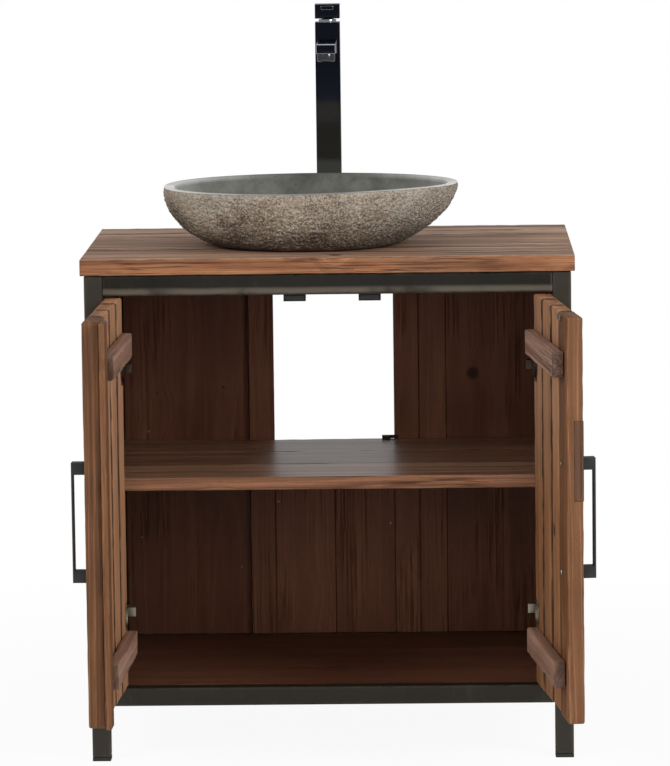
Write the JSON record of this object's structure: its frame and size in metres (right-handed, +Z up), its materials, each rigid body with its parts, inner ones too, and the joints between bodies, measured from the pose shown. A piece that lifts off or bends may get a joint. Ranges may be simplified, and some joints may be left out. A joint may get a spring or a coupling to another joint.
{
  "type": "vanity unit",
  "caption": "Two-door vanity cabinet in a square-tube steel frame with a planked worktop, a river-stone vessel basin, a tall single-lever tap, a shelf and an open back for pipes.",
  "frame": {"origin": "on the floor, under the middle of the outline box with both doors open as stored", "axes": "+Z up, the doors face -Y, +X to the right of someone who faces the doors"},
  "size_m": [0.8213, 0.8965, 1.2125],
  "materials": {
    "frame_steel": "satin dark grey-green lacquer over steel tube",
    "teak_top": "oiled reclaimed teak, greyer on top",
    "teak_doors": "oiled reclaimed teak, upright grain",
    "teak_patch": "darker teak repair piece",
    "teak_inside": "dark stained teak",
    "stone": "rough river stone outside, honed rim and bowl",
    "chrome": "polished",
    "brass": "plain",
    "zinc": "zinc-plated pressed steel",
    "handle_steel": "satin dark grey powder coat",
    "black_gloss": "gloss black plate",
    "black_plastic": "matt moulding"
  },
  "bodies": {
    "cabinet": {"leg_front_left": "frame_steel", "leg_front_right": "frame_steel", "leg_rear_left": "frame_steel", "leg_rear_right": "frame_steel", "leg_feet": "black_plastic", "top_rail_front": "frame_steel", "top_rail_rear": "frame_steel", "top_rails_side": "frame_steel", "low_rail_front": "frame_steel", "low_rail_rear": "frame_steel", "low_rails_side": "frame_steel", "worktop_front_plank": "teak_top", "worktop_second_plank": "teak_top", "worktop_third_plank": "teak_top", "worktop_rear_plank": "teak_top", "worktop_cleats": "teak_inside", "catch_rail": "teak_inside", "side_boards_left": "teak_inside", "side_boards_right": "teak_inside", "back_stile_left": "teak_inside", "back_stile_right": "teak_inside", "back_boards_left": "teak_inside", "back_boards_right": "teak_inside", "back_boards_centre": "teak_inside", "shelf_boards": "teak_inside", "shelf_cleats": "teak_inside", "shelf_clip": "black_plastic", "floor_boards": "teak_inside", "floor_bearers": "teak_inside", "catch_bodies": "black_plastic", "catch_magnets": "zinc", "hinge_arms_left": "zinc", "hinge_arms_right": "zinc", "basin": "stone", "waste_body": "chrome", "waste_nut": "brass", "tap_body": "black_gloss", "tap_aerator": "chrome", "tap_nut": "brass"},
    "door_left": {"door_left_boards": "teak_doors", "door_left_battens": "teak_doors", "door_left_cover_strip": "teak_doors", "door_left_handle": "handle_steel", "door_left_handle_screws": "zinc", "door_left_strike": "zinc", "door_left_hinge_cups": "zinc", "door_left_hinge_leaves": "zinc", "door_left_hinge_pins": "zinc"},
    "door_right": {"door_right_boards": "teak_doors", "door_right_battens": "teak_doors", "door_right_patch": "teak_patch", "door_right_handle": "handle_steel", "door_right_handle_screws": "zinc", "door_right_strike": "zinc", "door_right_hinge_cups": "zinc", "door_right_hinge_leaves": "zinc", "door_right_hinge_pins": "zinc"},
    "tap_swivel": {"tap_cartridge": "chrome"},
    "tap_handle": {"tap_lever": "black_gloss"},
    "plug": {"waste_plug": "chrome"}
  },
  "joints": [
    {"name": "door_left_hinge", "type": "hinge", "parent": "cabinet", "child": "door_left", "pos_m": [-0.36462, -0.07995, 0.443], "axis": [0, 0, 1], "range_deg": [-8, 92]},
    {"name": "door_right_hinge", "type": "hinge", "parent": "cabinet", "child": "door_right", "pos_m": [0.34418, -0.07995, 0.443], "axis": [0, 0, -1], "range_deg": [-3.5, 96.5]},
    {"name": "tap_turn", "type": "hinge", "parent": "cabinet", "child": "tap_swivel", "pos_m": [-0.01422, 0.38685, 1.182], "axis": [0, 0, 1], "range_deg": [-50, 50]},
    {"name": "tap_lift", "type": "hinge", "parent": "tap_swivel", "child": "tap_handle", "pos_m": [-0.01422, 0.38685, 1.1945], "axis": [-1, 0, 0], "range_deg": [0, 15]},
    {"name": "plug_press", "type": "slide", "parent": "cabinet", "child": "plug", "axis": [0, 0, -1], "range_m": [0, 0.008]}
  ]
}
